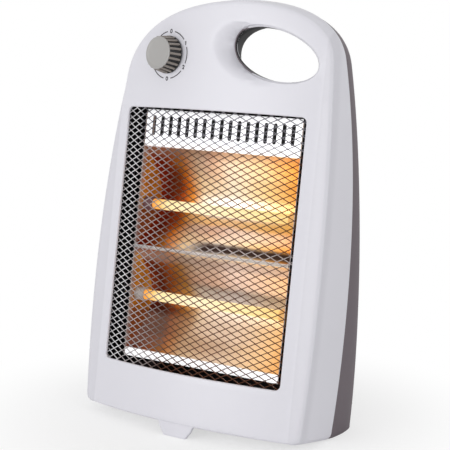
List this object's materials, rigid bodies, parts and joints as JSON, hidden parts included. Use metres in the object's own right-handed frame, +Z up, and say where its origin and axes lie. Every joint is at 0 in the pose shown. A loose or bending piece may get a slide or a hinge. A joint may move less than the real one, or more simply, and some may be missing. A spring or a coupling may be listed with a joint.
{
  "type": "quartz halogen heater",
  "caption": "Free-standing quartz tube heater with a leaning white front, curved wire guard, polished twin-trough reflector, rotary dial and a carrying hole.",
  "frame": {"origin": "centre of the outer box at the floor", "axes": "+Z up, -Y out of the front where the heat leaves, +X to the right as seen from the front"},
  "size_m": [0.2604, 0.1314, 0.3999],
  "materials": {
    "shell_white": "satin white moulding",
    "shell_plum": "matt plum-grey moulding",
    "guard_chrome": "bright plated wire",
    "reflector_sheet": "polished sheet",
    "galvanised": "zinc-plated steel",
    "quartz": "clear quartz lit from within",
    "hot_wire": "glowing resistance wire",
    "ceramic": "unglazed ceramic",
    "dial_grey": "fine-grained grey moulding",
    "brass": "plain",
    "phenolic": "dark moulding",
    "rubber": "matt"
  },
  "bodies": {
    "housing": {"front_shell": "shell_white", "rear_shell": "shell_plum", "guard_mesh": "guard_chrome", "reflector": "reflector_sheet", "end_plate_left": "reflector_sheet", "end_plate_right": "reflector_sheet", "heat_shield": "galvanised", "thermal_cutout": "phenolic", "rotary_switch": "phenolic", "tip_over_bracket": "galvanised", "tip_over_switch": "phenolic", "tip_over_spring": "galvanised", "terminal_block": "ceramic", "cord_inlet_bush": "rubber", "quartz_tube_upper": "quartz", "heating_coil_upper": "hot_wire", "end_cap_upper_left": "ceramic", "terminal_pin_upper_left": "brass", "frame_screw_upper_left": "galvanised", "end_cap_upper_right": "ceramic", "terminal_pin_upper_right": "brass", "frame_screw_upper_right": "galvanised", "quartz_tube_lower": "quartz", "heating_coil_lower": "hot_wire", "end_cap_lower_left": "ceramic", "terminal_pin_lower_left": "brass", "frame_screw_lower_left": "galvanised", "end_cap_lower_right": "ceramic", "terminal_pin_lower_right": "brass", "frame_screw_lower_right": "galvanised", "shell_screw_1": "galvanised", "shell_screw_2": "galvanised", "shell_screw_3": "galvanised", "shell_screw_4": "galvanised", "shell_screw_5": "galvanised", "shell_screw_6": "galvanised"},
    "dial": {"control_knob": "dial_grey", "switch_shaft": "galvanised"},
    "plunger": {"tip_over_plunger": "shell_white"}
  },
  "joints": [
    {"name": "dial_turn", "type": "hinge", "parent": "housing", "child": "dial", "pos_m": [-0.04949, -0.00144, 0.34868], "axis": [-0.1459, -0.9743, 0.1718], "range_deg": [-60, 120]},
    {"name": "tip_over_slide", "type": "slide", "parent": "housing", "child": "plunger", "axis": [0, 0, -1], "range_m": [0, 0.006], "stiffness_N_per_m": 60, "springref_m": 0.009, "deforming": ["tip_over_spring"]}
  ]
}
